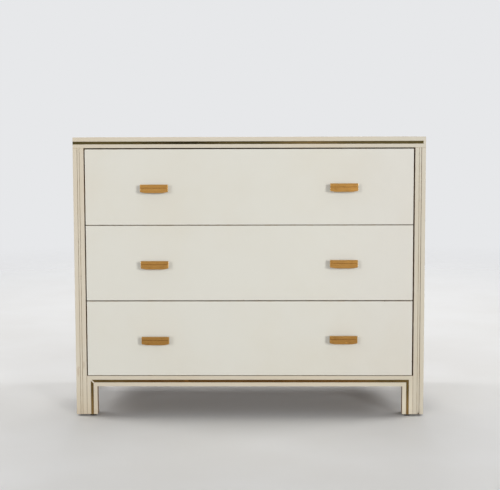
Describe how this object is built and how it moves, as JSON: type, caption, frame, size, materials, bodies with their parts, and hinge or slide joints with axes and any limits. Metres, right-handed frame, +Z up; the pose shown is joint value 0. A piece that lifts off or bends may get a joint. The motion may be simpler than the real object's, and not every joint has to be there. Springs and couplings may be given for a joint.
{
  "type": "chest of drawers",
  "caption": "Low chest of drawers on short legs, with brass lines let into its front edges and brass bar pulls on sliding drawers.",
  "frame": {"origin": "on the floor, at the centre of the chest's bounding box, pulls included", "axes": "+X to the right as seen from the front, +Y to the back, drawers open towards -Y, +Z up"},
  "size_m": [0.92, 0.472, 0.738],
  "materials": {
    "case_cream": "cream lacquer, satin, over board",
    "front_cream": "pale cream lacquer, satin, over board",
    "case_board": "bare particle board",
    "case_softwood": "bare pine",
    "back_hardboard": "bare hardboard",
    "drawer_maple": "clear lacquered maple",
    "drawer_plywood": "plywood, birch faced",
    "runner_beech": "waxed beech",
    "dowel_beech": "bare beech",
    "pull_brass": "satin lacquered brass",
    "inlay_brass": "aged brass strip",
    "steel_screw": "zinc plated",
    "glide_nylon": "dark nylon"
  },
  "bodies": {
    "case": {"back_panel": "back_hardboard", "back_screws": "steel_screw", "base_inlay": "inlay_brass", "base_rail": "case_cream", "bottom_drawer_left_runner": "runner_beech", "bottom_drawer_right_runner": "runner_beech", "bottom_panel": "case_board", "case_dowels": "dowel_beech", "floor_glides": "glide_nylon", "glue_blocks": "case_softwood", "left_edge_strip": "case_cream", "left_foot": "case_cream", "left_foot_inlay": "inlay_brass", "left_side_panel": "case_cream", "middle_drawer_left_runner": "runner_beech", "middle_drawer_right_runner": "runner_beech", "rear_rail": "case_softwood", "right_edge_strip": "case_cream", "right_foot": "case_cream", "right_foot_inlay": "inlay_brass", "right_side_panel": "case_cream", "runner_screws": "steel_screw", "top_drawer_left_runner": "runner_beech", "top_drawer_right_runner": "runner_beech", "top_inlay": "inlay_brass", "top_panel": "case_cream"},
    "bottom_drawer": {"bottom_drawer_back": "drawer_maple", "bottom_drawer_bottom": "drawer_plywood", "bottom_drawer_box_screws": "steel_screw", "bottom_drawer_front": "front_cream", "bottom_drawer_inner_front": "drawer_maple", "bottom_drawer_left_pull": "pull_brass", "bottom_drawer_left_side": "drawer_maple", "bottom_drawer_pull_screws": "steel_screw", "bottom_drawer_right_pull": "pull_brass", "bottom_drawer_right_side": "drawer_maple"},
    "middle_drawer": {"middle_drawer_back": "drawer_maple", "middle_drawer_bottom": "drawer_plywood", "middle_drawer_box_screws": "steel_screw", "middle_drawer_front": "front_cream", "middle_drawer_inner_front": "drawer_maple", "middle_drawer_left_pull": "pull_brass", "middle_drawer_left_side": "drawer_maple", "middle_drawer_pull_screws": "steel_screw", "middle_drawer_right_pull": "pull_brass", "middle_drawer_right_side": "drawer_maple"},
    "top_drawer": {"top_drawer_back": "drawer_maple", "top_drawer_bottom": "drawer_plywood", "top_drawer_box_screws": "steel_screw", "top_drawer_front": "front_cream", "top_drawer_inner_front": "drawer_maple", "top_drawer_left_pull": "pull_brass", "top_drawer_left_side": "drawer_maple", "top_drawer_pull_screws": "steel_screw", "top_drawer_right_pull": "pull_brass", "top_drawer_right_side": "drawer_maple"}
  },
  "joints": [
    {"name": "bottom_drawer_slide", "type": "slide", "parent": "case", "child": "bottom_drawer", "axis": [0, -1, 0], "range_m": [0, 0.32]},
    {"name": "middle_drawer_slide", "type": "slide", "parent": "case", "child": "middle_drawer", "axis": [0, -1, 0], "range_m": [0, 0.32]},
    {"name": "top_drawer_slide", "type": "slide", "parent": "case", "child": "top_drawer", "axis": [0, -1, 0], "range_m": [0, 0.32]}
  ]
}
